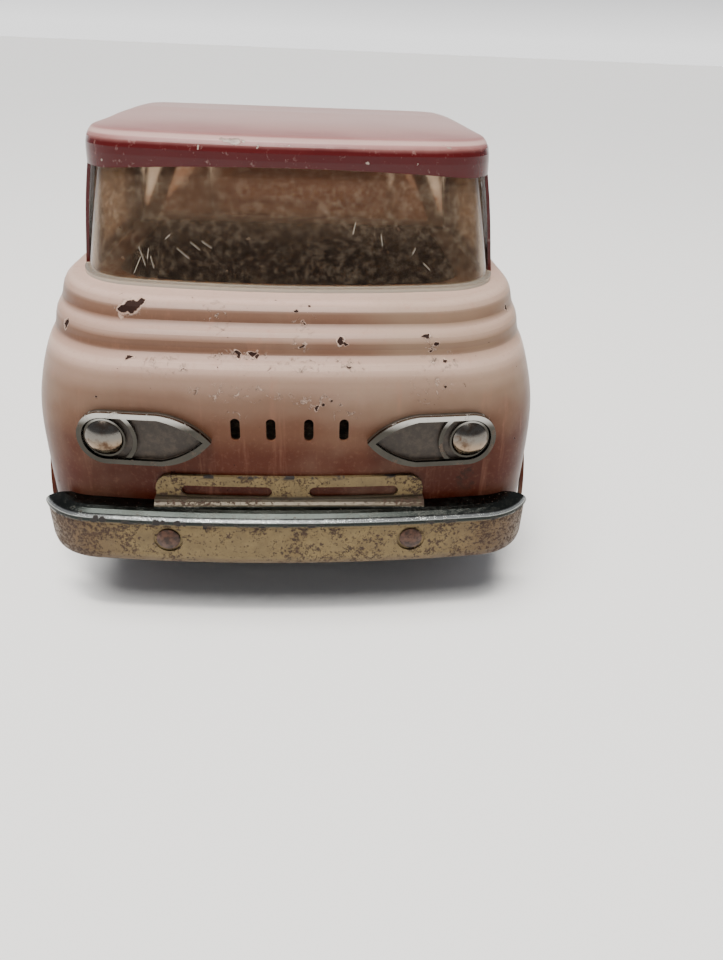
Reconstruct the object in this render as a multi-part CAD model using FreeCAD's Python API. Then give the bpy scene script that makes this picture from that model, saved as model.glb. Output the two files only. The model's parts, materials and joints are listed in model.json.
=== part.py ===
import FreeCAD, Part

# Pressed-steel forward-control toy pickup truck, in millimetres.
# The frame: +X is the truck's left side, -Y is forwards, +Z is up.  The origin is on the ground under the
# middle of the truck.  Lengths along the truck are given as d, the distance behind the bumper's front face.

import math
import os

V = FreeCAD.Vector

# ---- driving dimensions -------------------------------------------------------------------------
LENGTH = 292.0  # bumper face to tail
SHEET = 0.9  # thickness of every steel pressing
GAP = 0.15  # free space left between neighbouring pressings
BODY_HALF_WIDTH = 65.5
BODY_FRONT = 7.0  # the front panel's middle, behind the bumper face
BODY_CROWN = 360.0  # plan radius of the gently bowed front panel
LOW_CORNER = 12.0  # plan radius of the front corners at the sill
HIGH_CORNER = 30.0  # and at the belt
TAIL_CORNER = 5.0
SILL_Z = 21.0
BELT_Z = 82.0  # top of the lower body, where the cab glass stands
CAB_END = 112.0  # rear edge of the cab pressing
BED_START = CAB_END + 0.4

WHEEL_RADIUS = 22.0
TYRE_WIDTH = 13.0
RIM_RADIUS = 13.4
WHEEL_INNER_X = 46.4  # the tyre's inner side wall
AXLE_RADIUS = 2.0
RUNNING = 0.05  # radial clearance of a turning fit
FRONT_AXLE = 50.0
REAR_AXLE = 206.0
ARCH_RADIUS = 25.5

BUMPER_HALF_WIDTH = 65.4
BUMPER_CROWN = 420.0
BUMPER_CORNER = 17.0
BUMPER_LOW = 18.2
BUMPER_TOP = 33.3
BUMPER_END = 12.5  # how far the bumper wraps back
TAB_TOP = 41.3  # top of the grille tab
TAB_HALF = 34.0
RIVET_X = 31.0
RIVET_Z = 25.6
RIVET_SEAT = 2.1  # how far behind the bumper face the rivets' round seats lie

LAMP_Z = 51.25
LAMP_X = 44.8
LENS_RADIUS = 4.6
BEZEL_TIP_X = 19.0
BEZEL_HALF_HEIGHT = 6.85

CAB_BACK = 105.4  # front face of the cab's back panel
DECK_FRONT = 34.0  # the opening in the belt under the glass
DECK_HALF = 46.0
VISOR_Z = 107.2  # lower edge of the roof's lip at the corners
VISOR_RISE = 1.9  # how much higher the lip is in the middle of the front
BELT_LEG_HALF = 55.6  # the roof's legs where they stand on the belt
LEG_FRONT = 51.5  # front edge of the roof's side legs
GLASS = 1.2  # its thickness
GLASS_LOW_HALF = 53.4
GLASS_LOW_D = 28.0
GLASS_TOP = 111.0
GLASS_TOP_HALF = 49.8
GLASS_TOP_D = 39.3
GLASS_CROWN = 197.0
GLASS_END = 98.0

BED_FLOOR_Z = 47.5
TUB_HALF = 51.9
TUB_START = 113.5
CHASSIS_HALF = 36.0
CHASSIS_Z = 30.1
CHASSIS_LOW = 15.0

GATE_HALF = 49.2
GATE_TOP = 81.4
HINGE_Z = 49.6
HINGE_D = 289.4
PIN_RADIUS = 1.2


def at(x, d, z):
    """A point from its distance behind the bumper face."""
    return V(x, d - LENGTH / 2, z)


def box(x0, x1, d0, d1, z0, z1):
    return Part.makeBox(x1 - x0, d1 - d0, z1 - z0, at(x0, d0, z0))


def x_cylinder(radius, x0, x1, d, z):
    return Part.makeCylinder(radius, x1 - x0, at(x0, d, z), V(1, 0, 0))


def y_cylinder(radius, x, d0, d1, z):
    return Part.makeCylinder(radius, d1 - d0, at(x, d0, z), V(0, 1, 0))


def mirrored(shape):
    return shape.mirror(V(0, 0, 0), V(1, 0, 0))


def largest(shape):
    return max(shape.Solids, key=lambda s: s.Volume)


def plan_outline(z, half, front, rear, corner, crown, tail):
    """A closed plan outline: bowed front, rounded front corners, straight sides, small rear corners."""
    centre_d = front + crown
    corner_d = centre_d - math.sqrt((crown - corner) ** 2 - (half - corner) ** 2)
    out = V(half - corner, corner_d - centre_d, 0)
    out.normalize()
    touch = (out.x * crown, centre_d + out.y * crown)  # where the front bow meets the corner
    turn = math.atan2(out.y, out.x) / 2  # half way round the corner
    mid = (half - corner + corner * math.cos(turn), corner_d + corner * math.sin(turn))
    tail_d = rear - tail
    low = tail * math.sin(math.pi / 4)
    bend = half - tail + low

    def point(x, d):
        return at(x, d, z)

    edges = [
        Part.Arc(point(-touch[0], touch[1]), point(0, front), point(*touch)).toShape(),
        Part.Arc(point(*touch), point(*mid), point(half, corner_d)).toShape(),
        Part.LineSegment(point(half, corner_d), point(half, tail_d)).toShape(),
        Part.Arc(point(half, tail_d), point(bend, tail_d + low), point(half - tail, rear)).toShape(),
        Part.LineSegment(point(half - tail, rear), point(tail - half, rear)).toShape(),
        Part.Arc(point(tail - half, rear), point(-bend, tail_d + low), point(-half, tail_d)).toShape(),
        Part.LineSegment(point(-half, tail_d), point(-half, corner_d)).toShape(),
        Part.Arc(point(-half, corner_d), point(-mid[0], mid[1]), point(-touch[0], touch[1])).toShape(),
    ]
    return Part.Wire(edges)


def prism(z0, z1, *outline):
    return Part.Face(plan_outline(z0, *outline)).extrude(V(0, 0, z1 - z0))


def even_sections(points, count):
    """Points and unit tangents at even steps along a smooth curve through the given profile points."""
    curve = Part.BSplineCurve()
    curve.interpolate([V(*p) for p in points])
    sections = []
    for point in curve.toShape().discretize(Number=count):
        tangent = curve.tangent(curve.parameter(point))[0]
        sections.append((point, tangent))
    return sections


# ---- lower body pressing ------------------------------------------------------------------------
# (front panel's middle d, side's inset, height): two rounded steps run round the body under the belt
BODY_PROFILE = [
    (BODY_FRONT + 0.9, 1.7, SILL_Z),
    (BODY_FRONT + 0.1, 1.3, 30.0),
    (BODY_FRONT, 0.3, 42.0),
    (BODY_FRONT, 0.1, 54.0),
    (BODY_FRONT + 0.4, 1.6, 62.5),
    (BODY_FRONT + 1.6, 2.9, 67.4),
    (BODY_FRONT + 3.5, 3.7, 69.9),
    (BODY_FRONT + 5.4, 4.1, 71.1),
    (BODY_FRONT + 5.9, 4.3, 72.8),
    (BODY_FRONT + 6.2, 4.5, 74.4),
    (BODY_FRONT + 7.8, 4.9, 75.9),
    (BODY_FRONT + 9.8, 5.2, 77.0),
    (BODY_FRONT + 10.4, 5.4, 78.6),
    (BODY_FRONT + 10.9, 5.8, 80.3),
    (BODY_FRONT + 12.6, 6.5, 81.5),
    (BODY_FRONT + 15.6, 7.6, BELT_Z),
]
BODY_SECTIONS = 50


def body_section(z, front, inset, grow):
    corner = LOW_CORNER + (HIGH_CORNER - LOW_CORNER) * (z - SILL_Z) / (BELT_Z - SILL_Z)
    return plan_outline(
        z, BODY_HALF_WIDTH - inset + grow, front - grow, LENGTH - 0.35 * inset + grow, corner + grow,
        BODY_CROWN, TAIL_CORNER + grow * 0.6,
    )


def body_solid(grow=0.0):
    """The lower body's outer surface, filled in.  A negative grow moves it inwards."""
    wires = []
    for point, along in even_sections(BODY_PROFILE, BODY_SECTIONS):
        lean = math.atan2(along.x, along.z)
        lift = grow * math.sin(lean) if point.z > 60 else 0.0
        front = point.x - grow * (math.cos(lean) - 1)
        wires.append(body_section(point.z + lift, front, point.y, grow))
    return Part.makeLoft(wires, True, True)


def rounded_slot(width, height, depth, x, z, d0):
    """A plain slot with round ends, cut along Y from d0."""
    across, along = min(width, height) / 2, max(width, height) / 2
    reach = along - across
    if height > width:
        ends = [(x, z - reach), (x, z + reach)]
        middle = box(x - across, x + across, d0, d0 + depth, z - reach, z + reach)
    else:
        ends = [(x - reach, z), (x + reach, z)]
        middle = box(x - reach, x + reach, d0, d0 + depth, z - across, z + across)
    for cx, cz in ends:
        middle = middle.fuse(y_cylinder(across, cx, d0, d0 + depth, cz))
    return middle.removeSplitter()


def pierced_marks():
    """Four plain upright slots in the middle of the front panel."""
    return [rounded_slot(2.3, 6.0, 12, x, 54.0, 1) for x in (-13.2, -4.6, 4.6, 13.2)]


def arch_cuts():
    cuts = []
    for axle in (FRONT_AXLE, REAR_AXLE):
        for side in (-1, 1):
            x0, x1 = sorted((side * 50, side * 70))
            cuts.append(x_cylinder(ARCH_RADIUS, x0, x1, axle, WHEEL_RADIUS))
    return cuts


def arch_lips(axle):
    """A narrow raised lip round each wheel opening, above the sill."""
    lips = []
    for side in (-1, 1):
        x0, x1 = sorted((side * (BODY_HALF_WIDTH - 0.5), side * (BODY_HALF_WIDTH + 0.5)))
        ring = x_cylinder(ARCH_RADIUS + 1.2, x0, x1, axle, WHEEL_RADIUS)
        ring = ring.cut(x_cylinder(ARCH_RADIUS, x0, x1, axle, WHEEL_RADIUS))
        lips.append(ring.common(box(-80, 80, 0, LENGTH, SILL_Z + 1, 60)))
    return lips


def cab_body(outer, inner):
    """Front panel, sides and belt of the cab, one deep drawn pressing."""
    shell = outer.cut(inner).common(box(-80, 80, -5, CAB_END, 0, 100))
    opening = prism(BELT_Z - 6, BELT_Z + 6, DECK_HALF, DECK_FRONT, CAB_BACK + SHEET, 15, 200, 2)
    notch = box(-51.4, 51.4, CAB_BACK - 0.1, CAB_BACK + SHEET, BELT_Z - 6, BELT_Z + 6)
    shell = shell.cut(opening).cut(notch)
    shell = shell.fuse(arch_lips(FRONT_AXLE))
    rivet_holes = [y_cylinder(1.6, x, 0, 20, RIVET_Z) for x in (-RIVET_X, RIVET_X)]
    shell = shell.cut(pierced_marks() + arch_cuts() + rivet_holes)
    return largest(shell)


def bed_body(outer, inner):
    """Outer sides, tail corners and top rails of the load bed."""
    shell = outer.cut(inner).common(box(-80, 80, BED_START, LENGTH + 5, 0, 100))
    opening = box(-TUB_HALF - 0.05, TUB_HALF + 0.05, TUB_START - 0.05, HINGE_D + 1.65, 45, 100)
    gate_way = box(-GATE_HALF - 0.4, GATE_HALF + 0.4, HINGE_D - 4, LENGTH + 5, HINGE_Z - 2.5, 100)
    shell = shell.cut([opening, gate_way])
    shell = shell.fuse(arch_lips(REAR_AXLE))
    return largest(shell.cut(arch_cuts()))


# ---- roof, glass and cab back -------------------------------------------------------------------
# (front d, half width, height) of the roof cap: a lip in front, then a top that rises to the rear
ROOF_PROFILE = [
    (37.0, 52.1, VISOR_Z),
    (36.9, 51.9, 110.6),
    (37.3, 51.6, 113.0),
    (39.6, 51.0, 114.9),
    (46.0, 50.2, 115.7),
    (60.0, 48.8, 116.4),
    (73.0, 46.8, 117.1),
    (85.0, 43.8, 117.8),
]
ROOF_SECTIONS = 34
ROOF_REAR = 108.8
ROOF_CORNER = 15.0
ROOF_CROWN = 200.0
ROOF_TAIL = 7.0


def roof_outline(z, front, half, thick):
    inset = ROOF_PROFILE[0][1] - half
    corner = ROOF_CORNER - 0.7 * inset - thick
    tail = ROOF_TAIL - 0.1 * inset - thick
    return plan_outline(z, half - thick, front + thick, ROOF_REAR - 0.25 * inset - thick, corner,
                        ROOF_CROWN, tail)


def roof_cap(thick=0.0):
    wires = []
    for point, along in even_sections(ROOF_PROFILE, ROOF_SECTIONS):
        side = math.atan2(-along.y, along.z)
        low = point.z - thick * math.sin(side) if point.z > VISOR_Z + 0.01 else point.z
        wires.append(roof_outline(low, point.x, point.y, thick * math.cos(side)))
    return Part.makeLoft(wires, True, True)


def roof_legs(thick=0.0):
    """The leaning sides under the cap, filled in."""
    low = plan_outline(BELT_Z, BELT_LEG_HALF - thick, 28.0 + thick, 110.8 - thick, 16 - thick,
                       ROOF_CROWN - thick, 9 - thick)
    half = ROOF_PROFILE[0][1]
    high = plan_outline(VISOR_Z, half - thick, 37.0 + thick, ROOF_REAR - thick, ROOF_CORNER - thick,
                        ROOF_CROWN - thick, ROOF_TAIL - thick)
    return Part.makeLoft([low, high], True, True)


def side_window():
    """The leaning window opening in both sides of the roof pressing."""
    outline = [(60.5, 85.0), (94.5, 85.0), (92.0, 105.6), (58.5, 105.6)]
    wire = Part.makePolygon([at(-80, d, z) for d, z in outline + outline[:1]])
    opening = Part.Face(wire).extrude(V(160, 0, 0))
    corners = [e for e in opening.Edges if e.BoundBox.XLength > 100]
    return opening.makeFillet(2.5, corners)


def roof():
    """The roof cap with its windowed sides that stand on the belt, one pressing."""
    cap = roof_cap().cut(roof_cap(SHEET))
    bow = 46.0 ** 2 / (2 * VISOR_RISE)
    cap = cap.cut(y_cylinder(bow, 0, 30, 46, VISOR_Z + VISOR_RISE - bow))
    legs = roof_legs().cut(roof_legs(SHEET))
    corners = []
    for side in (-1, 1):
        x0, x1 = sorted((side * 50.0, side * 60))
        corners.append(box(x0, x1, LEG_FRONT, 115, BELT_Z, VISOR_Z))
    legs = legs.common(corners[0].fuse(corners[1])).cut(side_window())
    return largest(cap.fuse(legs).removeSplitter())


def glass_solid(thick=0.0):
    """The windshield's leaning outer surface, filled in, or its inner one."""
    rear = 120 + 4 * thick
    crown = GLASS_CROWN - thick
    low = plan_outline(BELT_Z, GLASS_LOW_HALF - thick, GLASS_LOW_D + thick, rear, 17 - thick, crown, 2)
    high = plan_outline(GLASS_TOP, GLASS_TOP_HALF - thick, GLASS_TOP_D + thick, rear, 15 - thick, crown, 2)
    return Part.makeLoft([low, high], True, True)


def windshield():
    """Front and side glass in one clear moulding, with a narrow foot that stands on the belt."""
    foot = prism(BELT_Z, BELT_Z + 1.1, GLASS_LOW_HALF + 1, GLASS_LOW_D - 1.2, 100, 17.8, GLASS_CROWN + 1, 2)
    foot = foot.common(box(-80, 80, 0, 48, 0, 200))
    shell = glass_solid().fuse(foot).cut(glass_solid(GLASS))
    return largest(shell.common(box(-80, 80, 0, GLASS_END, 0, 200)).removeSplitter())


def upright_panel(points, d0, thick):
    """A flat panel from its outline in (x, z), mirrored about the middle of the truck."""
    right = [at(x, d0, z) for x, z in points]
    left = [at(-x, d0, z) for x, z in reversed(points)]
    wire = Part.makePolygon(right + left + [right[0]])
    return Part.Face(wire).extrude(V(0, thick, 0))


def cab_back():
    """The wall between cab and bed, with rear and quarter window openings above the belt."""
    wall = upright_panel([(56.3, CHASSIS_Z), (56.3, BELT_Z - 1.1), (51.0, BELT_Z - 1.1), (47.2, 108.6)],
                         CAB_BACK, SHEET)
    window = upright_panel([(45.0, 84.6), (36.0, 104.4)], CAB_BACK - 1, SHEET + 2)
    quarter = [(49.2, 86.6), (49.9, 86.6), (46.4, 104.4), (40.8, 104.4)]
    wire = Part.makePolygon([at(x, CAB_BACK - 1, z) for x, z in quarter + quarter[:1]])
    pane = Part.Face(wire).extrude(V(0, SHEET + 2, 0))
    sill = box(-44.6, 44.6, CAB_BACK - 1.4, CAB_BACK, 83.7, 84.6)
    return largest(wall.cut([window, pane, mirrored(pane)]).fuse(sill).removeSplitter())


# ---- plated front trim --------------------------------------------------------------------------
# (height, how far it is set in) of the bumper: rolled foot, flat face, round ledge
BUMPER_PROFILE = [
    (BUMPER_LOW, 1.2), (18.5, 0.9), (19.2, 0.7), (20.6, 0.5), (24.5, 0.45), (29.2, 0.45), (29.7, 0.5),
    (30.0, 0.12), (30.6, 0.0), (31.4, 0.25), (32.2, 1.05), (32.8, 2.3), (33.15, 3.4), (BUMPER_TOP, 4.4),
]
# (bottom, top, how far it is set in) of the hollow behind it
BUMPER_HOLLOW = [(BUMPER_LOW - 2, 30.8, 1.5), (30.6, 32.3, 3.6)]


def bumper_outline(z, inset, rear):
    return plan_outline(z, BUMPER_HALF_WIDTH - inset, inset, rear, BUMPER_CORNER - inset, BUMPER_CROWN, 3)


def bumper_bar():
    wires = [bumper_outline(z, inset, 60) for z, inset in BUMPER_PROFILE]
    bar = Part.makeLoft(wires, True, True)
    for low, high, inset in BUMPER_HOLLOW:
        hollow = Part.Face(bumper_outline(low, inset, 64)).extrude(V(0, 0, high - low))
        bar = bar.cut(hollow)
    return bar.common(box(-80, 80, -5, BUMPER_END, 0, 60))


def tab_root():
    """The sloping foot that joins the grille tab to the ledge."""
    low = BUMPER_TOP - 0.2
    outline = [(4.3, low), (4.9, 33.8), (5.6, 34.3), (6.1, 34.9), (9, 34.9), (9, low)]
    wire = Part.makePolygon([at(-TAB_HALF - 0.3, d, z) for d, z in outline + outline[:1]])
    return Part.Face(wire).extrude(V(2 * TAB_HALF + 0.6, 0, 0))


def front_bumper(body_clear, body_grown):
    """Bumper bar, its ledge and the grille tab that lies on the front panel, one plated pressing."""
    bar = bumper_bar()
    plate = body_grown.cut(body_clear).common(grille_outline())
    bar = bar.cut(body_clear).fuse(tab_root().cut(body_clear)).fuse(plate)
    for x in (-16.1, 16.1):
        bar = bar.cut(rounded_slot(22.8, 3.1, 20, x, 36.9, 0))
    for x in (-RIVET_X, RIVET_X):
        bar = bar.cut(y_cylinder(3.7, x, -1, RIVET_SEAT, RIVET_Z))
        bar = bar.fuse(y_cylinder(3.7, x, RIVET_SEAT, RIVET_SEAT + SHEET, RIVET_Z))
        bar = bar.cut(y_cylinder(1.6, x, -1, 6, RIVET_Z))
    return largest(bar.removeSplitter())


def grille_outline():
    """The grille tab's outline: a low plate with rounded top corners."""
    tab = box(-TAB_HALF, TAB_HALF, 2, 14, BUMPER_TOP, TAB_TOP)
    uprights = [e for e in tab.Edges if abs(e.BoundBox.ZMin - TAB_TOP) < 0.01 and e.BoundBox.XLength < 0.01]
    return tab.makeFillet(4.2, uprights)


def bumper_rivets():
    """Two domed rivets through the bumper and the lower edge of the front panel."""
    rivets = []
    for x in (-RIVET_X, RIVET_X):
        ball = 4.6
        dome = Part.makeSphere(ball, at(x, RIVET_SEAT - 1.5 + ball, RIVET_Z))
        dome = dome.common(y_cylinder(2.9, x, 0, RIVET_SEAT, RIVET_Z))
        shank = y_cylinder(1.55, x, RIVET_SEAT - 0.5, BODY_FRONT + 3.2, RIVET_Z)
        tail = y_cylinder(2.4, x, BODY_FRONT + 3.0, BODY_FRONT + 3.8, RIVET_Z)
        rivets.append(dome.fuse([shank, tail]).removeSplitter())
    return rivets


def lamp_outline(grow, d0, depth):
    """The headlamp bezel's outline: round outboard, flat above and below, pointed inboard."""
    tall = BEZEL_HALF_HEIGHT + grow
    tip = BEZEL_TIP_X - grow * 1.5
    bend = BEZEL_TIP_X + 12.5
    rise = (tip + 4.6, tall * 0.60)
    top, low = LAMP_Z + tall, LAMP_Z - tall
    point = at(tip, d0, LAMP_Z)
    edges = [
        Part.Arc(point, at(rise[0], d0, LAMP_Z + rise[1]), at(bend, d0, top)).toShape(),
        Part.LineSegment(at(bend, d0, top), at(LAMP_X, d0, top)).toShape(),
        Part.Arc(at(LAMP_X, d0, top), at(LAMP_X + tall, d0, LAMP_Z), at(LAMP_X, d0, low)).toShape(),
        Part.LineSegment(at(LAMP_X, d0, low), at(bend, d0, low)).toShape(),
        Part.Arc(at(bend, d0, low), at(rise[0], d0, LAMP_Z - rise[1]), point).toShape(),
    ]
    return Part.Face(Part.Wire(edges)).extrude(V(0, depth, 0))


def headlight_bezel(body_clear, layers):
    """A plated plate on the front panel with a raised rim, a lamp ring and a short upright rib."""
    plate_skin, rib_skin, rim_skin = layers
    rim = rim_skin.common(lamp_outline(0, 0, 20)).cut(lamp_outline(-1.3, 0, 20))
    plate = plate_skin.common(lamp_outline(-0.8, 0, 20))
    ring = rib_skin.common(y_cylinder(LENS_RADIUS + 0.5, LAMP_X, 0, 20, LAMP_Z))
    rib = rib_skin.common(y_cylinder(LENS_RADIUS + 3.3, LAMP_X, 0, 20, LAMP_Z))
    rib = rib.cut(y_cylinder(LENS_RADIUS + 2.3, LAMP_X, 0, 20, LAMP_Z))
    rib = rib.common(box(LAMP_X - 12, LAMP_X - 3.5, 0, 20, LAMP_Z - 6, LAMP_Z + 6))
    bezel = plate.fuse([rim, ring, rib]).cut(body_clear)
    bezel = bezel.cut(y_cylinder(LENS_RADIUS, LAMP_X, 0, 30, LAMP_Z))
    return largest(bezel.removeSplitter())


def headlight_lens(body_clear, lens_front):
    """A domed bright lens that fills the bezel's ring."""
    ball = 6.4
    centre = lens_front + ball
    dome = Part.makeSphere(ball, at(LAMP_X, centre, LAMP_Z))
    dome = dome.common(y_cylinder(LENS_RADIUS - 0.05, LAMP_X, lens_front, lens_front + 2.2, LAMP_Z))
    stem = y_cylinder(LENS_RADIUS - 0.05, LAMP_X, lens_front + 2.2, BODY_FRONT + 5, LAMP_Z)
    return largest(dome.fuse(stem).cut(body_clear).removeSplitter())


# ---- load bed -----------------------------------------------------------------------------------
def bed_tub():
    """Floor with lengthwise ribs, side walls and front wall of the load bed, one folded sheet."""
    low = BED_FLOOR_Z - SHEET
    end = HINGE_D - 2.9
    tub = box(-TUB_HALF, TUB_HALF, TUB_START, end, low, BED_FLOOR_Z)
    for side in (-1, 1):
        x0, x1 = sorted((side * (TUB_HALF - SHEET), side * TUB_HALF))
        tub = tub.fuse(box(x0, x1, TUB_START, HINGE_D + 1.5, low, BELT_Z))
    tub = tub.fuse(box(-TUB_HALF, TUB_HALF, TUB_START, TUB_START + SHEET, low, BELT_Z))
    for i in range(7):
        x = (i - 3) * 13.4
        rib = box(x - 2.2, x + 2.2, TUB_START + 9, end - 6, BED_FLOOR_Z, BED_FLOOR_Z + 0.8)
        tops = [e for e in rib.Edges if e.BoundBox.ZMin > BED_FLOOR_Z + 0.7]
        tub = tub.fuse(rib.makeChamfer(0.7, tops))
    holes = [x_cylinder(PIN_RADIUS, x - 2, x + 2, HINGE_D, HINGE_Z) for x in (-TUB_HALF, TUB_HALF)]
    return largest(tub.cut(holes).removeSplitter())


def tailgate():
    """A flanged panel with a pressed field and two rolled hinge barrels along its lower edge."""
    outer = HINGE_D + 0.9
    low = HINGE_Z + 1.6
    panel = box(-GATE_HALF, GATE_HALF, outer - SHEET, outer, HINGE_Z - 1.5, GATE_TOP)
    rim = box(-GATE_HALF, GATE_HALF, outer - 3.4, outer, low, GATE_TOP)
    rim = rim.cut(box(-GATE_HALF + SHEET, GATE_HALF - SHEET, outer - 4, outer, low + SHEET, GATE_TOP - SHEET))
    field = box(-40, 40, outer - 1.7, outer + 0.8, low + 6.5, GATE_TOP - 6.5)
    corners = [e for e in field.Edges if e.BoundBox.YLength > 2]
    field = field.makeFillet(4, corners)
    inside = box(-39.1, 39.1, outer - 3.0, outer - 0.1, low + 7.4, GATE_TOP - 7.4)
    corners = [e for e in inside.Edges if e.BoundBox.YLength > 2]
    inside = inside.makeFillet(3.2, corners)
    gate = panel.fuse([rim, field]).cut(inside)
    for side in (-1, 1):
        x0, x1 = sorted((side * 40, side * GATE_HALF))
        barrel = x_cylinder(PIN_RADIUS + 1.0, x0, x1, HINGE_D, HINGE_Z)
        gate = gate.fuse(barrel).cut(x_cylinder(PIN_RADIUS + RUNNING, x0 - 1, x1 + 1, HINGE_D, HINGE_Z))
    return largest(gate.removeSplitter())


def tailgate_pins():
    """One short headed pin at each end of the tailgate."""
    pins = []
    for side in (-1, 1):
        x0, x1 = sorted((side * 41.0, side * TUB_HALF))
        h0, h1 = sorted((side * TUB_HALF, side * (TUB_HALF + 0.8)))
        pin = x_cylinder(PIN_RADIUS, x0, x1, HINGE_D, HINGE_Z)
        pins.append(pin.fuse(x_cylinder(PIN_RADIUS + 0.4, h0, h1, HINGE_D, HINGE_Z)).removeSplitter())
    return pins


# ---- chassis and wheels -------------------------------------------------------------------------
def chassis():
    """An inverted channel down the middle with wings to the body sides."""
    top = box(-CHASSIS_HALF, CHASSIS_HALF, 14, 284, CHASSIS_Z - SHEET, CHASSIS_Z)
    top = top.fuse(box(-62.8, 62.8, 80, 176, CHASSIS_Z - SHEET, CHASSIS_Z))
    top = top.fuse(box(-62.8, 62.8, 236, 284, CHASSIS_Z - SHEET, CHASSIS_Z))
    for side in (-1, 1):
        x0, x1 = sorted((side * (CHASSIS_HALF - SHEET), side * CHASSIS_HALF))
        top = top.fuse(box(x0, x1, 20, 280, CHASSIS_LOW, CHASSIS_Z))
    for axle_d in (FRONT_AXLE, REAR_AXLE):
        top = top.cut(x_cylinder(AXLE_RADIUS, -50, 50, axle_d, WHEEL_RADIUS))
    return largest(top.removeSplitter())


def bolster(d):
    """A folded bracket across the chassis that carries the bed tub."""
    top = BED_FLOOR_Z - SHEET
    web = box(-34, 34, d, d + SHEET, CHASSIS_Z, top)
    foot = box(-34, 34, d, d + 8, CHASSIS_Z, CHASSIS_Z + SHEET)
    return web.fuse([foot, box(-34, 34, d, d + 8, top - SHEET, top)]).removeSplitter()


def axle(d):
    return x_cylinder(AXLE_RADIUS, -60.2, 60.2, d, WHEEL_RADIUS)


def turned(points, d):
    """A solid of revolution about the axle from its (x, radius) outline."""
    wire = Part.makePolygon([at(x, d, WHEEL_RADIUS + r) for x, r in points + points[:1]])
    return Part.Face(wire).revolve(at(0, d, WHEEL_RADIUS), V(1, 0, 0), 360)


def tyre(d):
    """A rubber tyre with rounded shoulders and three tread grooves."""
    x0, x1 = WHEEL_INNER_X, WHEEL_INNER_X + TYRE_WIDTH
    mid = (x0 + x1) / 2
    body = x_cylinder(WHEEL_RADIUS, x0, x1, d, WHEEL_RADIUS)
    body = body.makeFillet(2.6, [e for e in body.Edges if e.Closed and e.BoundBox.XLength < 0.01])
    body = body.cut(x_cylinder(RIM_RADIUS, x0 - 1, x1 + 1, d, WHEEL_RADIUS))
    for shift in (-2.9, 0, 2.9):
        groove = x_cylinder(WHEEL_RADIUS + 1, mid + shift - 0.45, mid + shift + 0.45, d, WHEEL_RADIUS)
        body = body.cut(groove.cut(x_cylinder(WHEEL_RADIUS - 0.9, 0, 90, d, WHEEL_RADIUS)))
    step = turned([(x1 - 0.7, 18.2), (x1 + 1, 18.2), (x1 + 1, 17.4), (x1 - 0.7, 17.4)], d)
    return largest(body.cut(step).removeSplitter())


def wheel_disc(d):
    """Rim, dished disc with a domed middle and a long hub, turned as one piece."""
    bore = AXLE_RADIUS + RUNNING
    outline = [
        (36.7, bore), (57.3, bore), (57.3, 4.4), (56.6, 5.6), (55.2, 6.4), (54.6, 8.0), (54.6, 9.4),
        (55.6, 10.6), (57.2, 11.3), (58.6, 11.9), (59.0, 12.6), (59.0, RIM_RADIUS), (47.0, RIM_RADIUS),
        (47.0, 12.2), (57.0, 12.2), (54.4, 10.8), (53.4, 9.6), (53.4, 7.0), (52.0, 4.0), (36.7, 4.0),
    ]
    return turned(outline, d)


def axle_caps():
    """A domed push-on cap at each end of both axles."""
    caps = []
    for d in (FRONT_AXLE, REAR_AXLE):
        outline = [(57.7, AXLE_RADIUS), (60.2, AXLE_RADIUS), (60.2, 0), (61.4, 0), (61.2, 1.6), (60.6, 2.8),
                   (59.4, 3.6), (58.3, 3.9), (57.7, 3.9)]
        cap = turned(outline, d)
        caps += [cap, mirrored(cap)]
    return caps


def build():
    outer = body_solid()
    inner = body_solid(-SHEET)
    clear = body_solid(GAP)
    grown = body_solid(GAP + SHEET)
    layers = [body_solid(GAP + t).cut(clear) for t in (0.7, 1.5, 2.1)]
    lens_front = BODY_FRONT - 0.8
    bezel = headlight_bezel(clear, layers)
    lens = headlight_lens(clear, lens_front)
    parts = {
        "cab_body": cab_body(outer, inner),
        "cab_back_panel": cab_back(),
        "roof": roof(),
        "windshield": windshield(),
        "front_bumper": front_bumper(clear, grown),
        "bumper_rivets": Part.makeCompound(bumper_rivets()),
        "headlight_bezel_left": bezel,
        "headlight_bezel_right": mirrored(bezel),
        "headlight_lens_left": lens,
        "headlight_lens_right": mirrored(lens),
        "bed_body": bed_body(outer, inner),
        "bed_tub": bed_tub(),
        "tailgate": tailgate(),
        "tailgate_pins": Part.makeCompound(tailgate_pins()),
        "chassis": chassis(),
        "bed_bolster_front": bolster(124),
        "bed_bolster_rear": bolster(262),
        "front_axle": axle(FRONT_AXLE),
        "rear_axle": axle(REAR_AXLE),
        "axle_caps": Part.makeCompound(axle_caps()),
    }
    for place, d in (("front", FRONT_AXLE), ("rear", REAR_AXLE)):
        for name, shape in (("wheel", wheel_disc(d)), ("tyre", tyre(d))):
            parts[f"{place}_{name}_left"] = shape
            parts[f"{place}_{name}_right"] = mirrored(shape)
    return parts


def main():
    os.makedirs("parts", exist_ok=True)
    for name, shape in build().items():
        shape.exportStep(f"parts/{name}.step")
        print(name, len(shape.Solids), "solid(s)", round(shape.Volume, 1), "mm3", shape.isValid())


if __name__ == "__main__":
    main()
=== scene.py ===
import json
import math

import bmesh
import bpy
from mathutils import Matrix, Vector

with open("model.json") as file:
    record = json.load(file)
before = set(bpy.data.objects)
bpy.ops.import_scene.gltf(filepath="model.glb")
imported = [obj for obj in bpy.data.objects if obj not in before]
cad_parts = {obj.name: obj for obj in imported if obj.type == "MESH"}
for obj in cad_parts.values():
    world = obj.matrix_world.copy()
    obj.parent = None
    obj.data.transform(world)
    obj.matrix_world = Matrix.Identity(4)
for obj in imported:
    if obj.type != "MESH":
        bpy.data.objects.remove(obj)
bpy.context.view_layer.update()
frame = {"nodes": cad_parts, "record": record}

MM = 0.001
NODES = frame["nodes"]


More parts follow.
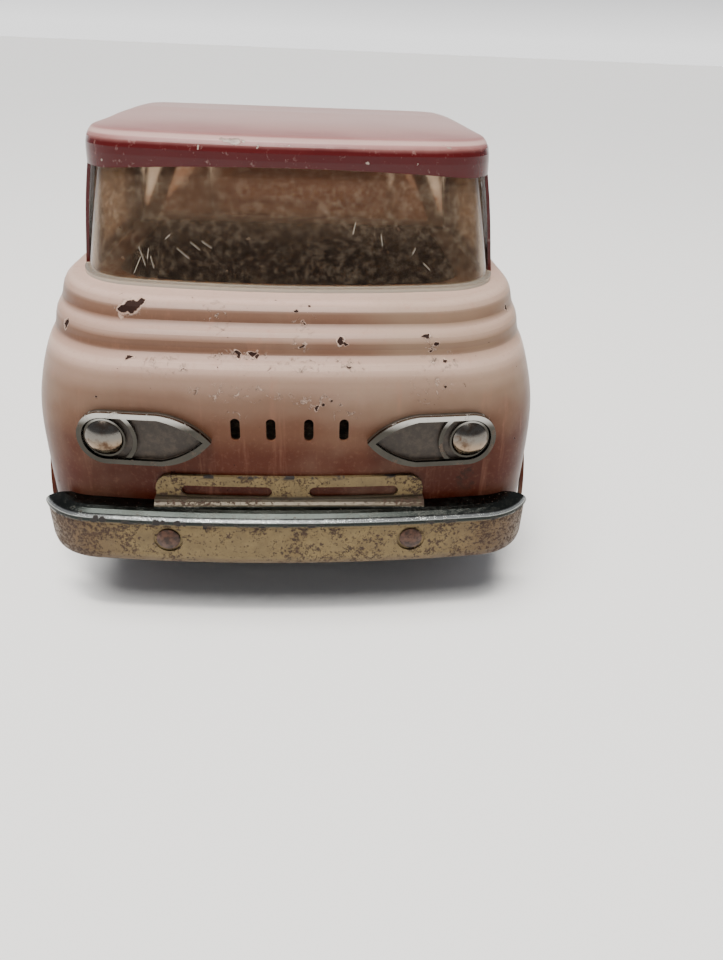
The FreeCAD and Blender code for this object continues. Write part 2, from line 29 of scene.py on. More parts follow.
# ---- camera -------------------------------------------------------------------------------------
# A hand-held close view from in front and above, a little left of the truck's middle.
CAMERA_PLACE = (5.2, -296.5, 134.5)  # mm
CAMERA_DOWN = 30.87  # degrees below level
CAMERA_TURN = 4.64  # degrees to the right of straight back
CAMERA_ROLL = 2.43
FOCAL_LENGTH = 27.08  # on a 36 mm sensor along the frame's long side


def add_camera():
    data = bpy.data.cameras.new("camera")
    data.lens = FOCAL_LENGTH
    data.sensor_fit = "VERTICAL"
    data.sensor_height = 36.0
    data.clip_start = 0.005
    camera = bpy.data.objects.new("camera", data)
    bpy.context.scene.collection.objects.link(camera)
    down, turn, roll = (math.radians(a) for a in (CAMERA_DOWN, CAMERA_TURN, CAMERA_ROLL))
    look = (Matrix.Rotation(-turn, 4, "Z") @ Matrix.Rotation(math.pi / 2 - down, 4, "X")
            @ Matrix.Rotation(roll, 4, "Z"))
    camera.matrix_world = Matrix.Translation(Vector(CAMERA_PLACE) * MM) @ look
    bpy.context.scene.camera = camera


add_camera()


# ---- node building ------------------------------------------------------------------------------
class Paint:
    """A material's node tree, with short names for the nodes that the finishes are made of."""

    def __init__(self, name):
        self.material = bpy.data.materials.new(name)
        self.material.use_nodes = True
        self.tree = self.material.node_tree
        self.shader = self.tree.nodes["Principled BSDF"]
        self.where = self.tree.nodes.new("ShaderNodeTexCoord").outputs["Object"]
        self.axes = self.node("ShaderNodeSeparateXYZ", Vector=self.where).outputs

    def node(self, kind, settings=(), **inputs):
        made = self.tree.nodes.new(kind)
        for key, value in dict(settings).items():
            setattr(made, key, value)
        for key, value in inputs.items():
            self.plug(made.inputs[key.replace("_", " ")], value)
        return made

    def plug(self, socket, value):
        if isinstance(value, bpy.types.NodeSocket):
            self.tree.links.new(value, socket)
        else:
            socket.default_value = value

    def math(self, operation, a, b=0.0, clamp=False):
        made = self.tree.nodes.new("ShaderNodeMath")
        made.operation = operation
        made.use_clamp = clamp
        self.plug(made.inputs[0], a)
        self.plug(made.inputs[1], b)
        return made.outputs[0]

    def moved(self, scale=(1, 1, 1), place=(0, 0, 0)):
        made = self.node("ShaderNodeMapping", Vector=self.where, Scale=scale, Location=place)
        return made.outputs["Vector"]

    def noise(self, scale, detail=3.0, rough=0.55, vector=None, twist=0.0):
        made = self.node("ShaderNodeTexNoise", Vector=vector or self.where, Scale=scale, Detail=detail,
                         Roughness=rough, Distortion=twist)
        return made.outputs[0]

    def cells(self, scale):
        return self.node("ShaderNodeTexVoronoi", Vector=self.where, Scale=scale).outputs["Distance"]

    def step(self, value, low, high, start=0.0, end=1.0, smooth=True):
        """A rise from start to end while value goes from low to high."""
        kind = "SMOOTHSTEP" if smooth else "LINEAR"
        made = self.node("ShaderNodeMapRange", {"interpolation_type": kind}, Value=value)
        for key, number in (("From Min", low), ("From Max", high), ("To Min", start), ("To Max", end)):
            made.inputs[key].default_value = number
        return made.outputs["Result"]

    def mix(self, share, a, b):
        made = self.tree.nodes.new("ShaderNodeMix")
        made.data_type = "RGBA"
        self.plug(made.inputs[0], share)
        self.plug(made.inputs[6], a if isinstance(a, bpy.types.NodeSocket) else (*a, 1.0))
        self.plug(made.inputs[7], b if isinstance(b, bpy.types.NodeSocket) else (*b, 1.0))
        return made.outputs[2]

    def tones(self, value, table):
        """A colour read from a table of (value in mm, colour) pairs."""
        low, high = table[0][0], table[-1][0]
        made = self.tree.nodes.new("ShaderNodeValToRGB")
        self.plug(made.inputs["Fac"], self.step(value, low * MM, high * MM, smooth=False))
        ramp = made.color_ramp
        ramp.interpolation = "EASE"
        for _ in table[2:]:
            ramp.elements.new(0.5)
        for element, (at, colour) in zip(ramp.elements, table):
            element.position = (at - low) / (high - low)
            element.color = (*colour, 1.0)
        return made.outputs["Color"]

    def blend(self, share, a, b):
        """A number between a and b."""
        made = self.tree.nodes.new("ShaderNodeMix")
        self.plug(made.inputs[0], share)
        self.plug(made.inputs[2], a)
        self.plug(made.inputs[3], b)
        return made.outputs[0]

    def bump(self, height, distance, strength=1.0, under=None):
        made = self.node("ShaderNodeBump", Height=height, Distance=distance, Strength=strength)
        if under is not None:
            self.plug(made.inputs["Normal"], under)
        return made.outputs["Normal"]

    def spots(self, places, radius, ragged=0.5, vector=None):
        """A mask of ragged blotches round the given points (in mm)."""
        warp = self.node("ShaderNodeTexNoise", Vector=self.where, Scale=420.0, Detail=3.0)
        shift = self.node("ShaderNodeVectorMath", {"operation": "SUBTRACT"})
        self.plug(shift.inputs[0], warp.outputs["Color"])
        shift.inputs[1].default_value = (0.5, 0.5, 0.5)
        scaled = self.node("ShaderNodeVectorMath", {"operation": "SCALE"})
        self.plug(scaled.inputs[0], shift.outputs[0])
        scaled.inputs["Scale"].default_value = radius * ragged * 3 * MM
        moved = self.node("ShaderNodeVectorMath", {"operation": "ADD"})
        self.plug(moved.inputs[0], self.where)
        self.plug(moved.inputs[1], scaled.outputs[0])
        total = None
        for x, y, z, size in places:
            gap = self.node("ShaderNodeVectorMath", {"operation": "DISTANCE"})
            self.plug(gap.inputs[0], moved.outputs[0])
            gap.inputs[1].default_value = (x * MM, y * MM, z * MM)
            reach = radius * size * MM
            one = self.step(gap.outputs["Value"], reach * 0.82, reach, 1.0, 0.0)
            total = one if total is None else self.math("MAXIMUM", total, one)
        return total

    def finish(self, **inputs):
        for key, value in inputs.items():
            name = key.replace("_", " ")
            socket = self.shader.inputs[name]
            if isinstance(value, tuple) and len(value) == 3:
                value = (*value, 1.0)
            self.plug(socket, value)
        return self.material


def cover(node, material):
    """Gives a CAD node its finish."""
    mesh = NODES[node].data
    mesh.materials.clear()
    mesh.materials.append(material)


BELT_Z = 0.0826  # top of the body pressing, where the glass and the rear wall's paint begin, metres
CREASE_Z = 0.0303  # where the bumper's flat face meets its round ledge
# The ledge's brightest line is a painted highlight.
CREST_HIGHLIGHT_Z = 0.0316  # the ledge's brightest line
TAB_Z = 0.0334  # foot of the grille tab
LAMP_Z = 51.25  # height of the headlamps' middle, mm
PANEL_CROWN = 0.36  # plan radius of the bowed front panel, metres
FIELD_LEVEL = 0.1400  # how far forward the bezels' raised rims begin, bow taken out

# ---- finishes -----------------------------------------------------------------------------------
# Flaked places in the front panel's paint: x, y, z in mm and relative size.
FRONT_CHIPS = [
    (-37.4, -125.9, 80.1, 1.9), (-39.4, -126.3, 79.5, 1.3), (-35.6, -125.5, 80.9, 1.1),
    (-54.6, -121.4, 74.0, 0.9), (-54.9, -120.9, 75.2, 0.8), (-12.0, -133.5, 71.0, 0.75),
    (-8.8, -133.3, 71.5, 0.9), (-7.4, -133.8, 70.8, 0.6), (-37.6, -133.0, 70.1, 0.6),
    (12.6, -132.4, 74.6, 0.75), (13.6, -132.6, 74.2, 0.5), (32.3, -130.3, 75.4, 0.75),
    (35.5, -131.2, 73.7, 0.65), (34.1, -131.6, 72.1, 0.45), (37.6, -133.4, 69.9, 0.6),
    (1.8, -127.9, 80.3, 0.5), (4.4, -127.2, 81.0, 0.6), (3.4, -128.7, 77.6, 0.55),
    (2.8, -132.8, 73.5, 0.35), (-8.0, -127.5, 80.7, 0.4), (-23.2, -123.8, 81.9, 0.35),
    (55.9, -113.8, 77.5, 0.6), (-45.8, -135.6, 61.3, 0.45), (-16.7, -135.9, 69.1, 0.3),
    (10.1, -138.4, 62.0, 0.45), (6.5, -138.5, 60.2, 0.75), (8.2, -138.5, 60.6, 0.55),
    (-30.5, -135.6, 67.9, 0.3), (14.1, -138.6, 49.4, 0.25),
]
# The paint's tone by height in mm, with light and shade painted in: painted shade makes it red-brown low
# down, painted highlights light the treads of the steps and painted shade darkens the risers under them.
FRONT_LIGHT_AND_SHADE = [
    (32.0, (0.050, 0.0070, 0.0022)), (46.0, (0.062, 0.0150, 0.0065)), (53.0, (0.108, 0.0470, 0.0260)),
    (60.0, (0.158, 0.0920, 0.0620)), (66.0, (0.240, 0.1560, 0.1160)), (69.3, (0.440, 0.3050, 0.2480)),
    (70.3, (0.330, 0.2150, 0.1680)), (71.8, (0.120, 0.0630, 0.0410)), (73.6, (0.150, 0.0830, 0.0560)),
    (75.0, (0.290, 0.1900, 0.1480)), (76.2, (0.370, 0.2500, 0.2000)), (77.6, (0.125, 0.0660, 0.0430)),
    (79.3, (0.150, 0.0830, 0.0560)), (80.8, (0.340, 0.2300, 0.1830)), (81.7, (0.470, 0.3300, 0.2720)),
    (82.4, (0.400, 0.2600, 0.2120)),
]
# The same further back, where the sides get only painted shade by height, darker low down.
SIDE_SHADE = [
    (32.0, (0.085, 0.0260, 0.0120)), (50.0, (0.190, 0.0950, 0.0600)), (70.0, (0.330, 0.1950, 0.1450)),
    (82.4, (0.420, 0.2800, 0.2250)),
]
# Scraped and lifted paint: x, y, z in mm, then the patch's size across and up.
PAINT_SCARS = [
    (8.0, -135.6, 69.5, 14.0, 1.6), (-29.0, -135.0, 68.8, 6.0, 2.4), (-12.0, -133.6, 70.9, 9.0, 1.5),
    (37.0, -133.0, 70.2, 6.0, 2.2), (-17.4, -127.8, 78.8, 3.5, 4.0), (3.4, -128.4, 78.0, 3.2, 4.2),
    (34.8, -131.4, 72.6, 3.2, 3.6), (-38.0, -126.2, 79.8, 5.0, 2.4), (-12.0, -138.0, 63.4, 14.0, 2.6),
    (8.0, -138.4, 61.2, 9.0, 2.6), (34.0, -136.2, 64.6, 6.0, 4.5), (-14.0, -138.6, 57.6, 4.0, 1.4),
    (2.8, -132.6, 73.6, 2.4, 2.0), (12.9, -138.6, 58.0, 5.0, 1.6),
]


def scar_mask(p, ragged):
    """Ragged patches over the scraped places."""
    total = None
    for x, y, z, wide, tall in PAINT_SCARS:
        scale = (1 / wide, 0.1, 1 / tall)
        near = p.moved(scale=scale, place=tuple(-at * MM * size for at, size in zip((x, y, z), scale)))
        reach = p.node("ShaderNodeVectorMath", {"operation": "LENGTH"}, Vector=near).outputs["Value"]
        one = p.step(reach, 0.0004, 0.0011, 1.0, 0.0)
        total = one if total is None else p.math("MAXIMUM", total, one)
    return p.math("MULTIPLY", total, ragged)


def body_paint():
    """Aged pink enamel with light and shade painted in: paler above and on the step treads as painted light,
    red-brown low down and dark under the steps as painted shade; flaked along the steps, with fine dark
    specks.
    """
    p = Paint("body_paint")
    z = p.axes["Z"]
    cloud = p.noise(24.0, 5.0, 0.62)
    drift = p.math("ADD", z, p.math("MULTIPLY", p.math("SUBTRACT", cloud, 0.5), 0.016))
    sway = p.math("MULTIPLY", p.step(z, 0.060, 0.067, 1.0, 0.0), p.math("SUBTRACT", drift, z))
    level = p.math("ADD", z, sway)
    # Painted light and shade by height on the front: highlights on the treads, shade under them and low down.
    front = p.tones(level, FRONT_LIGHT_AND_SHADE)
    behind = p.step(p.axes["Y"], -0.112, -0.080)
    # Further back the sides take only the painted shade by height.
    tone = p.mix(behind, front, p.tones(drift, SIDE_SHADE))
    olive = p.noise(15.0, 4.0, 0.6, p.moved(place=(0.4, 0, 0)))
    tone = p.mix(p.math("MULTIPLY", p.step(olive, 0.48, 0.68), 0.30), tone, (0.30, 0.23, 0.16))
    streak = p.noise(1.0, 4.0, 0.65, p.moved(scale=(300, 300, 22)))
    tone = p.mix(p.math("MULTIPLY", p.step(streak, 0.55, 0.75), 0.22), tone, (0.30, 0.14, 0.09))
    grain = p.noise(900.0, 4.0, 0.7)
    tone = p.mix(p.math("MULTIPLY", p.step(grain, 0.50, 0.72), 0.16), tone, (0.22, 0.11, 0.07))
    flake = p.noise(520.0, 5.0, 0.70, twist=0.6)
    scars = scar_mask(p, p.step(flake, 0.565, 0.590))
    chips = p.spots(FRONT_CHIPS, 1.05, 1.15)
    pits = p.math("MULTIPLY", p.step(flake, 0.715, 0.735), p.step(p.noise(40.0), 0.46, 0.56))
    dots = p.step(p.noise(780.0, 3.0, 0.5), 0.735, 0.755)
    specks = p.math("MULTIPLY", dots, p.step(p.noise(31.0), 0.44, 0.54))
    deep = p.math("MAXIMUM", p.math("MULTIPLY", scars, p.step(flake, 0.62, 0.66)), specks)
    bare = p.math("MAXIMUM", chips, p.math("MAXIMUM", pits, deep))
    smudge = p.spots([(45.8, -135.9, 40.6, 1.0), (45.6, -135.9, 37.2, 1.3)], 1.8, 1.2)
    tone = p.mix(p.math("MULTIPLY", smudge, p.step(flake, 0.40, 0.62)), tone, (0.030, 0.009, 0.004))
    edge = p.math("SUBTRACT", p.math("MAXIMUM", p.spots(FRONT_CHIPS, 1.45, 1.0), scars), bare, True)
    edge = p.math("MULTIPLY", edge, p.step(z, 0.052, 0.060))
    tone = p.mix(p.math("MULTIPLY", edge, 0.55), tone, p.mix(flake, (0.30, 0.155, 0.10), (0.80, 0.64, 0.54)))
    rust = p.mix(p.noise(300.0, 4.0, 0.7), (0.005, 0.003, 0.003), (0.034, 0.013, 0.008))
    tone = p.mix(bare, tone, rust)
    normal = p.bump(p.noise(46.0, 3.0), 0.0009, 0.5)
    normal = p.bump(p.noise(1300.0, 2.0), 0.00002, 0.5, normal)
    lifted = p.math("SUBTRACT", p.math("MULTIPLY", edge, flake), bare)
    normal = p.bump(lifted, 0.00030, 1.0, normal)
    rough = p.blend(bare, p.blend(cloud, 0.22, 0.46), 0.75)
    return p.finish(Base_Color=tone, Roughness=rough, Normal=normal, Specular_IOR_Level=0.12)


ROOF_CHIPS = [
    (-16.3, -105.9, 114.7, 0.8), (-15.0, -106.3, 114.6, 0.9), (-12.7, -106.9, 114.3, 1.3),
    (-14.0, -106.7, 114.4, 1.1), (-10.8, -106.6, 114.5, 0.7), (-22.1, -107.3, 113.0, 0.45),
    (-7.4, -108.2, 113.4, 0.45), (0.1, -107.6, 114.1, 0.35), (15.8, -105.7, 114.8, 0.35),
    (18.6, -108.1, 110.6, 0.5), (39.1, -103.6, 114.3, 0.45), (-45.8, -102.5, 109.3, 0.4),
]


def roof_paint():
    """Red enamel, kept dark on the front lip by painted shade; the top is faded and painted lighter as if lit
    from above, pink along the front edge and grey-pink with dust further back, with a painted highlight along
    the crest.
    """
    p = Paint("roof_paint")
    patch = p.noise(30.0, 5.0, 0.62)
    level = p.math("ADD", p.axes["Z"], p.math("MULTIPLY", p.math("SUBTRACT", patch, 0.5), 0.0012))
    # Painted shade below the crest keeps the front lip dark red; above it the top is faded and painted
    # lighter as if lit from above.
    up = p.step(level, 0.1128, 0.1146)
    maroon = p.mix(p.noise(60.0, 3.0), (0.044, 0.0022, 0.0026), (0.066, 0.0045, 0.0046))
    along = p.math("ADD", p.axes["Y"], p.math("MULTIPLY", p.math("SUBTRACT", patch, 0.5), 0.025))
    back = p.step(along, -0.106, -0.070)
    top_faded_and_lit = p.mix(back, (0.270, 0.120, 0.112), (0.400, 0.280, 0.262))
    top_faded_and_lit = p.mix(p.math("MULTIPLY", p.step(patch, 0.40, 0.66), 0.30), top_faded_and_lit, (0.36, 0.20, 0.18))
    tone = p.mix(up, maroon, top_faded_and_lit)
    # A painted highlight along the crest.
    crest = p.step(p.math("ABSOLUTE", p.math("SUBTRACT", p.axes["Z"], 0.1149)), 0.0002, 0.0006, 1.0, 0.0)
    tone = p.mix(p.math("MULTIPLY", crest, 0.45), tone, (0.62, 0.46, 0.42))
    grit = p.noise(480.0, 4.0, 0.7)
    tone = p.mix(p.math("MULTIPLY", p.step(grit, 0.58, 0.75), 0.25), tone, (0.50, 0.34, 0.30))
    dots = p.step(p.noise(700.0, 3.0, 0.5), 0.735, 0.75)
    specks = p.math("MULTIPLY", dots, p.step(p.noise(30.0), 0.48, 0.56))
    chips = p.spots(ROOF_CHIPS, 1.0, 1.1)
    bare = p.math("MAXIMUM", specks, chips)
    tone = p.mix(bare, tone, p.mix(grit, (0.05, 0.02, 0.015), (0.50, 0.40, 0.34)))
    normal = p.bump(p.noise(40.0, 2.0), 0.0008, 0.4)
    normal = p.bump(p.noise(1100.0, 2.0), 0.00002, 0.5, normal)
    normal = p.bump(p.math("SUBTRACT", 1.0, bare), 0.00018, 1.0, normal)
    rough = p.blend(up, 0.20, p.blend(patch, 0.24, 0.38))
    return p.finish(Base_Color=tone, Roughness=rough, Normal=normal, Specular_IOR_Level=0.3)


# Scratches low in the windshield: x and z in mm, slant in radians, length in mm.
GLASS_SCRATCHES = [
    (-37.9, 86.3, 0.45, 5.0), (-36.6, 88.4, -0.35, 5.5), (-35.1, 89.0, 0.15, 3.0),
    (-34.1, 87.2, -0.30, 3.5), (-26.3, 89.5, -0.95, 4.5), (-23.3, 91.3, -0.95, 3.5),
    (-20.4, 91.7, -1.05, 3.5), (15.8, 96.2, 0.25, 3.5), (22.7, 93.5, -0.15, 3.0),
    (34.4, 87.4, -0.85, 3.0), (-30.0, 93.0, 0.9, 2.0), (31.0, 91.0, 0.5, 2.0),
]


def scratch_mask(p):
    """Short thin strokes at the given places on the front of the glass."""
    total = None
    for x, z, slant, length in GLASS_SCRATCHES:
        near = p.moved(place=(-x * MM, 0, -z * MM))
        turned = p.node("ShaderNodeMapping", Vector=near, Rotation=(0, -slant, 0)).outputs["Vector"]
        axes = p.node("ShaderNodeSeparateXYZ", Vector=turned).outputs
        across = p.step(p.math("ABSOLUTE", axes["X"]), 0.00001, 0.00010, 1.0, 0.0)
        along = p.step(p.math("ABSOLUTE", axes["Z"]), length * 0.35 * MM, length * 0.5 * MM, 1.0, 0.0)
        one = p.math("MULTIPLY", across, along)
        total = one if total is None else p.math("MAXIMUM", total, one)
    front = p.step(p.axes["Y"], -0.100, -0.098, 1.0, 0.0)
    return p.math("MULTIPLY", total, front)


def clear_plastic():
    """Yellowed acrylic: an even haze with mottled dust, fine dark specks and a few scratches."""
    p = Paint("clear_plastic")
    dust = p.noise(520.0, 6.0, 0.80)
    cloud = p.noise(42.0, 4.0, 0.6)
    haze = p.math("MULTIPLY", p.step(dust, 0.46, 0.62), p.blend(p.step(cloud, 0.3, 0.7), 0.55, 1.0))
    scratch = scratch_mask(p)
    specks = p.math("MULTIPLY", p.step(p.noise(420.0, 3.0, 0.5), 0.75, 0.765), p.step(cloud, 0.45, 0.55))
    foot = p.step(p.axes["Z"], BELT_Z, BELT_Z + 0.001, 1.0, 0.0)
    sides = p.step(p.math("ABSOLUTE", p.axes["X"]), 0.034, 0.050)
    veil = p.math("ADD", p.blend(sides, 0.024, 0.10), p.step(p.axes["Z"], 0.090, 0.100, 0.0, 0.06))
    milky = p.math("ADD", p.math("MULTIPLY", haze, 0.085), veil)
    milky = p.math("MAXIMUM", milky, p.math("MULTIPLY", scratch, 0.45))
    milky = p.math("MAXIMUM", p.math("MAXIMUM", milky, specks), p.math("MULTIPLY", foot, 0.55))
    tone = p.mix(haze, (0.34, 0.235, 0.155), (0.44, 0.350, 0.250))
    tone = p.mix(p.math("MAXIMUM", scratch, foot), tone, (0.80, 0.76, 0.66))
    tone = p.mix(specks, tone, (0.06, 0.035, 0.025))
    normal = p.bump(p.noise(22.0, 2.0), 0.0005, 0.3)
    return p.finish(Base_Color=tone, Roughness=p.blend(haze, 0.10, 0.22), IOR=1.25, Normal=normal,
                    Transmission_Weight=p.math("SUBTRACT", 1.0, milky))


# Black holes worn through the plate along the bumper's crease: x, y, z in mm and relative size.
CREASE_CHIPS = [
    (-47.0, -143.2, 30.9, 1.1), (-49.0, -143.0, 30.8, 1.0), (-33.6, -144.3, 30.8, 1.0),
    (-31.9, -144.4, 30.8, 0.9), (-28.4, -144.7, 30.9, 1.0), (-26.6, -144.8, 30.8, 0.8),
    (-21.5, -144.9, 29.9, 0.6), (8.0, -145.6, 30.6, 0.6),
]


def tin_plate():
    """Plated steel: the round ledge dark with tarnish and painted dark reflection under a painted highlight
    line, a painted shadow with rust along the tab's lower edge, worn to a rust-speckled brassy tan on the
    flat faces.
    """
    p = Paint("tin_plate")
    z = p.axes["Z"]
    fine = p.noise(1150.0, 4.0, 0.70)
    broad = p.noise(110.0, 5.0, 0.66)
    face = p.step(z, 0.0300, 0.0305, 1.0, 0.0)
    tab = p.step(z, TAB_Z, TAB_Z + 0.0004)
    shabby = p.math("MAXIMUM", face, tab)
    # A painted highlight along the ledge's top line, over a dark base that is tarnish and painted dark
    # reflection.
    crest = p.step(p.math("ABSOLUTE", p.math("SUBTRACT", z, CREST_HIGHLIGHT_Z)), 0.0001, 0.0005, 1.0, 0.0)
    tarnish_and_dark_reflection = p.mix(p.noise(90.0, 4.0), (0.016, 0.019, 0.017), (0.044, 0.049, 0.045))
    steel = p.mix(crest, tarnish_and_dark_reflection, (0.56, 0.58, 0.56))
    brass = p.mix(p.noise(210.0, 5.0, 0.7), (0.070, 0.042, 0.016), (0.230, 0.165, 0.070))
    side = p.math("ABSOLUTE", p.axes["X"])
    ends = p.math("MULTIPLY", p.step(side, 0.036, 0.058), face)
    brass = p.mix(p.math("MULTIPLY", ends, 0.65), brass, (0.085, 0.040, 0.018))
    foot = p.step(z, 0.0190, 0.0205, 1.0, 0.0)
    brass = p.mix(p.math("MULTIPLY", foot, 0.5), brass, (0.080, 0.050, 0.032))
    # Painted shadow with rust along the tab's lower edge, where it rises from the ledge.
    tab_root_rust_and_shadow = p.math("MULTIPLY", tab, p.step(z, 0.0352, 0.0360, 1.0, 0.0))
    brass = p.mix(p.math("MULTIPLY", tab_root_rust_and_shadow, 0.85), brass, (0.020, 0.015, 0.010))
    share = p.math("MULTIPLY", shabby, p.blend(p.step(broad, 0.35, 0.65), 0.82, 1.0))
    tone = p.mix(share, steel, brass)
    clump = p.step(p.math("ADD", broad, p.math("MULTIPLY", ends, 0.10)), 0.38, 0.64)
    limit = p.blend(clump, 0.610, 0.505)
    over = p.math("SUBTRACT", p.math("MAXIMUM", fine, p.noise(760.0, 5.0, 0.78)), limit)
    rust = p.math("MULTIPLY", p.step(over, 0.0, 0.05), p.blend(shabby, 0.10, 0.92))
    ledge = p.math("MULTIPLY", p.step(fine, 0.66, 0.70), p.math("SUBTRACT", 1.0, shabby))
    crease = p.step(p.math("ABSOLUTE", p.math("SUBTRACT", z, CREASE_Z)), 0.0003, 0.0008, 1.0, 0.0)
    crease = p.math("MULTIPLY", crease, p.step(p.noise(260.0, 4.0, 0.7), 0.52, 0.60))
    top = p.math("MULTIPLY", p.step(z, 0.0402, 0.0410), p.step(p.noise(200.0, 3.0), 0.50, 0.58))
    holes = p.math("MAXIMUM", p.math("MAXIMUM", p.spots(CREASE_CHIPS, 1.0, 0.8), crease), top)
    rust = p.math("MAXIMUM", p.math("MAXIMUM", rust, ledge), holes)
    brown = p.mix(p.noise(500.0), (0.012, 0.005, 0.003), (0.055, 0.024, 0.010))
    tone = p.mix(rust, tone, p.mix(holes, brown, (0.012, 0.009, 0.008)))
    metal = p.blend(rust, p.blend(shabby, 1.0, 0.55), 0.05)
    rough = p.blend(rust, p.blend(share, 0.20, 0.46), 0.85)
    normal = p.bump(p.noise(70.0, 2.0), 0.0002, 0.3)
    normal = p.bump(p.math("SUBTRACT", 1.0, rust), 0.00008, 0.8, normal)
    return p.finish(Base_Color=tone, Metallic=metal, Roughness=rough, Normal=normal)


def bezel_plate():
    """A worn rim and lamp ring, dark as painted shade and painted bright along the top as if lit from above,
    round a flat field left dark grey-brown.
    """
    p = Paint("bezel_plate")
    front = p.math("MULTIPLY", p.axes["Y"], -1.0)
    side = p.math("ABSOLUTE", p.axes["X"])
    height = p.math("SUBTRACT", p.axes["Z"], LAMP_Z * MM)
    bowed = p.math("MULTIPLY", p.math("MULTIPLY", side, side), 0.5 / PANEL_CROWN)
    stand = p.math("ADD", front, bowed)
    stand = p.math("ADD", stand, p.math("MULTIPLY", p.math("MAXIMUM", height, 0.0), 0.015))
    raised = p.step(stand, FIELD_LEVEL, FIELD_LEVEL + 0.0004)
    raised = p.math("MAXIMUM", raised, p.step(side, 0.0475, 0.0485))
    fine = p.noise(420.0, 5.0, 0.75)
    field = p.mix(p.step(fine, 0.40, 0.70), (0.020, 0.013, 0.008), (0.045, 0.031, 0.020))
    # The rim's dark base is painted shade.
    steel = p.mix(p.noise(150.0, 4.0), (0.026, 0.024, 0.020), (0.070, 0.066, 0.057))
    worn = p.step(p.noise(330.0, 5.0, 0.72), 0.56, 0.64)
    steel = p.mix(p.math("MULTIPLY", worn, 0.8), steel, (0.070, 0.042, 0.025))
    # Painted highlight on the rim's top part, as if lit from above.
    lit_upper_rim = p.step(height, 0.0030, 0.0062)
    steel = p.mix(p.math("MULTIPLY", lit_upper_rim, 0.8), steel, (0.50, 0.49, 0.46))
    tone = p.mix(raised, field, steel)
    metal = p.blend(raised, 0.25, p.blend(worn, 1.0, 0.3))
    rough = p.blend(raised, 0.50, p.blend(worn, 0.17, 0.6))
    return p.finish(Base_Color=tone, Metallic=metal, Roughness=rough, Normal=p.bump(fine, 0.00004, 0.5))


def rusty_rivet():
    """Rivet heads browned by rust over what is left of the plate."""
    p = Paint("rusty_rivet")
    fine = p.noise(600.0, 5.0, 0.7)
    tone = p.mix(p.step(fine, 0.38, 0.62), (0.080, 0.036, 0.022), (0.022, 0.010, 0.006))
    return p.finish(Base_Color=tone, Metallic=0.35, Roughness=p.blend(fine, 0.35, 0.65),
                    Normal=p.bump(fine, 0.0001, 0.6))


def bright_lens():
    p = Paint("bright_lens")
    stain = p.noise(260.0, 4.0, 0.7)
    # Painted reflection: tan on the lens's lower part and grey on its top, as if the floor showed below and
    # the dark sky above.
    low = p.step(p.axes["Z"], (LAMP_Z - 2.2) * MM, (LAMP_Z + 0.8) * MM, 1.0, 0.0)
    unstained_with_reflection = p.mix(low, (0.150, 0.140, 0.125), (0.260, 0.190, 0.130))
    tone = p.mix(p.step(stain, 0.45, 0.7), unstained_with_reflection, (0.075, 0.045, 0.028))
    return p.finish(Base_Color=tone, Metallic=1.0, Roughness=p.blend(stain, 0.10, 0.28))


def dark_steel():
    """Dark grey paint under pale greenish dust."""
    p = Paint("dark_steel")
    dust = p.noise(300.0, 6.0, 0.8)
    tone = p.mix(p.step(dust, 0.45, 0.75), (0.022, 0.022, 0.020), (0.16, 0.16, 0.13))
    return p.finish(Base_Color=tone, Roughness=0.7, Normal=p.bump(dust, 0.0001, 0.6))


def cab_back_finish():
    """Body colour above the belt, dark with pale dust below it."""
    p = Paint("cab_back")
    below = p.step(p.axes["Z"], BELT_Z, BELT_Z + 0.0004, 1.0, 0.0)
    dust = p.noise(330.0, 6.0, 0.8)
    dark = p.mix(p.step(dust, 0.45, 0.66), (0.008, 0.008, 0.007), (0.115, 0.108, 0.085))
    pink = p.mix(p.noise(80.0, 4.0), (0.50, 0.32, 0.26), (0.66, 0.48, 0.41))
    rough = p.blend(below, 0.35, 0.8)
    return p.finish(Base_Color=p.mix(below, pink, dark), Roughness=rough, Normal=p.bump(dust, 0.0001, 0.4))


def bare_steel():
    p = Paint("bare_steel")
    rust = p.step(p.noise(240.0, 5.0, 0.7), 0.48, 0.64)
    tone = p.mix(rust, (0.42, 0.41, 0.39), (0.16, 0.08, 0.045))
    return p.finish(Base_Color=tone, Metallic=p.blend(rust, 1.0, 0.1), Roughness=p.blend(rust, 0.32, 0.8))


def wheel_steel():
    p = Paint("wheel_steel")
    worn = p.noise(120.0, 5.0, 0.7)
    tone = p.mix(p.step(worn, 0.40, 0.70), (0.64, 0.60, 0.52), (0.46, 0.38, 0.30))
    bare = p.math("MULTIPLY", p.step(p.cells(330.0), 0.10, 0.15, 1.0, 0.0), p.step(p.noise(50.0), 0.48, 0.58))
    tone = p.mix(bare, tone, (0.07, 0.035, 0.02))
    return p.finish(Base_Color=tone, Roughness=p.blend(worn, 0.25, 0.5), Normal=p.bump(worn, 0.0001, 0.4),
                    Coat_Weight=0.2)


def tyre_rubber():
    p = Paint("tyre")
    scuff = p.noise(260.0, 6.0, 0.75)
    tone = p.mix(p.step(scuff, 0.45, 0.75), (0.018, 0.018, 0.018), (0.075, 0.070, 0.062))
    return p.finish(Base_Color=tone, Roughness=p.blend(scuff, 0.6, 0.9), Normal=p.bump(scuff, 0.00012, 0.7))


FINISHES = {
    "body_paint": body_paint(), "roof_paint": roof_paint(), "clear_plastic": clear_plastic(),
    "tin_plate": tin_plate(), "bright_lens": bright_lens(), "dark_steel": dark_steel(),
    "bare_steel": bare_steel(), "wheel_steel": wheel_steel(), "tyre": tyre_rubber(),
}
bezel_finish = bezel_plate()
for part in frame["record"]["subparts"]:
    cover(part["node"], FINISHES[part["material_slot"]])
cover("cab_back_panel", cab_back_finish())
cover("bumper_rivets", rusty_rivet())
for bezel in ("headlight_bezel_left", "headlight_bezel_right"):
    cover(bezel, bezel_finish)


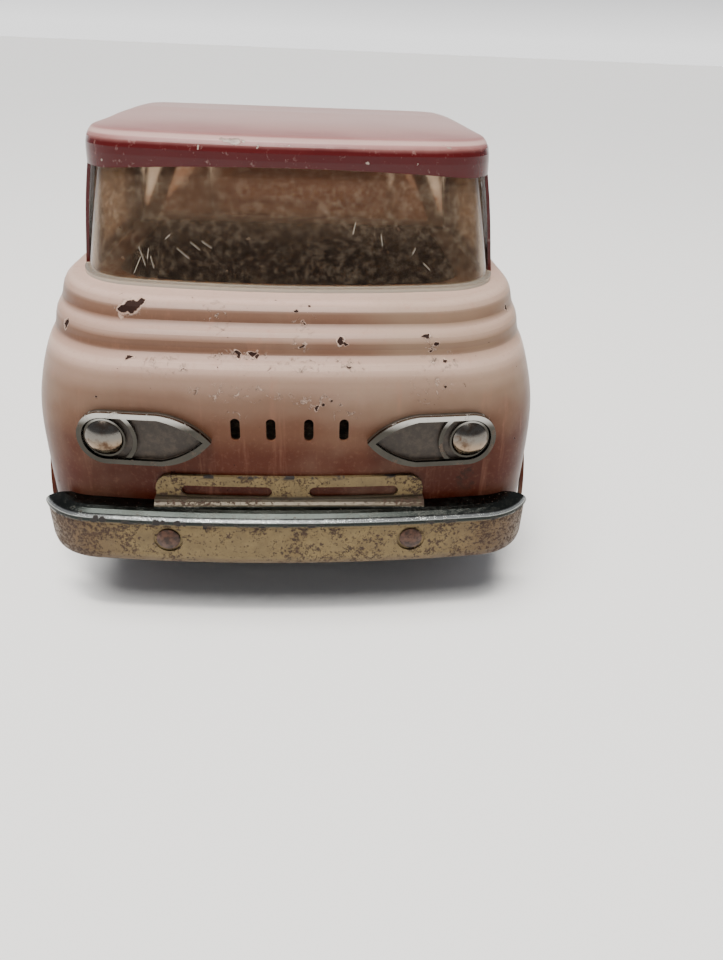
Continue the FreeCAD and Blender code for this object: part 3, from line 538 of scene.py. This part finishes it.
# ---- stage --------------------------------------------------------------------------------------
def floor():
    mesh = bpy.data.meshes.new("floor")
    build = bmesh.new()
    bmesh.ops.create_grid(build, x_segments=1, y_segments=1, size=40.0)
    build.to_mesh(mesh)
    build.free()
    made = bpy.data.objects.new("floor", mesh)
    bpy.context.scene.collection.objects.link(made)
    p = Paint("floor")
    tone = p.mix(p.noise(3.0, 2.0), (0.80, 0.80, 0.79), (0.82, 0.82, 0.81))
    mesh.materials.append(p.finish(Base_Color=tone, Roughness=0.9))


def area_light(name, place, target, size, power, tint):
    data = bpy.data.lights.new(name, "AREA")
    data.shape = "RECTANGLE"
    data.size, data.size_y = size
    data.energy = power
    data.color = tint
    light = bpy.data.objects.new(name, data)
    light.location = place
    aim = Vector(target) - Vector(place)
    light.rotation_euler = aim.to_track_quat("-Z", "Y").to_euler()
    bpy.context.scene.collection.objects.link(light)


SUN_AIM = (0.16, 0.14, -1.0)
SUN_ENERGY = 5.0
SUN_SPREAD = 0.75  # radians across, for soft shadows
SKY_STRENGTH = 1.75
# The sky by height: white at the horizon, grey above.
SKY_TONES = [(0.015, (1.0, 1.0, 1.0)), (0.12, (0.16, 0.16, 0.17))]


def studio():
    sun = bpy.data.lights.new("sun", "SUN")
    sun.energy = SUN_ENERGY
    sun.angle = SUN_SPREAD
    sun.color = (1.0, 0.98, 0.95)
    light = bpy.data.objects.new("sun", sun)
    light.rotation_euler = Vector(SUN_AIM).to_track_quat("-Z", "Y").to_euler()
    bpy.context.scene.collection.objects.link(light)
    area_light("lamp", (-0.05, -0.32, 1.0), (0, -0.1, 0.05), (0.36, 0.10), 8.0, (1.0, 0.95, 0.88))
    world = bpy.data.worlds.new("studio")
    bpy.context.scene.world = world
    world.use_nodes = True
    tree = world.node_tree
    where = tree.nodes.new("ShaderNodeTexCoord")
    split = tree.nodes.new("ShaderNodeSeparateXYZ")
    ramp = tree.nodes.new("ShaderNodeValToRGB")
    for element, (height, tone) in zip(ramp.color_ramp.elements, SKY_TONES):
        element.position = height
        element.color = (*tone, 1.0)
    tree.links.new(where.outputs["Generated"], split.inputs["Vector"])
    tree.links.new(split.outputs["Z"], ramp.inputs["Fac"])
    tree.links.new(ramp.outputs["Color"], tree.nodes["Background"].inputs["Color"])
    tree.nodes["Background"].inputs["Strength"].default_value = SKY_STRENGTH


floor()
studio()
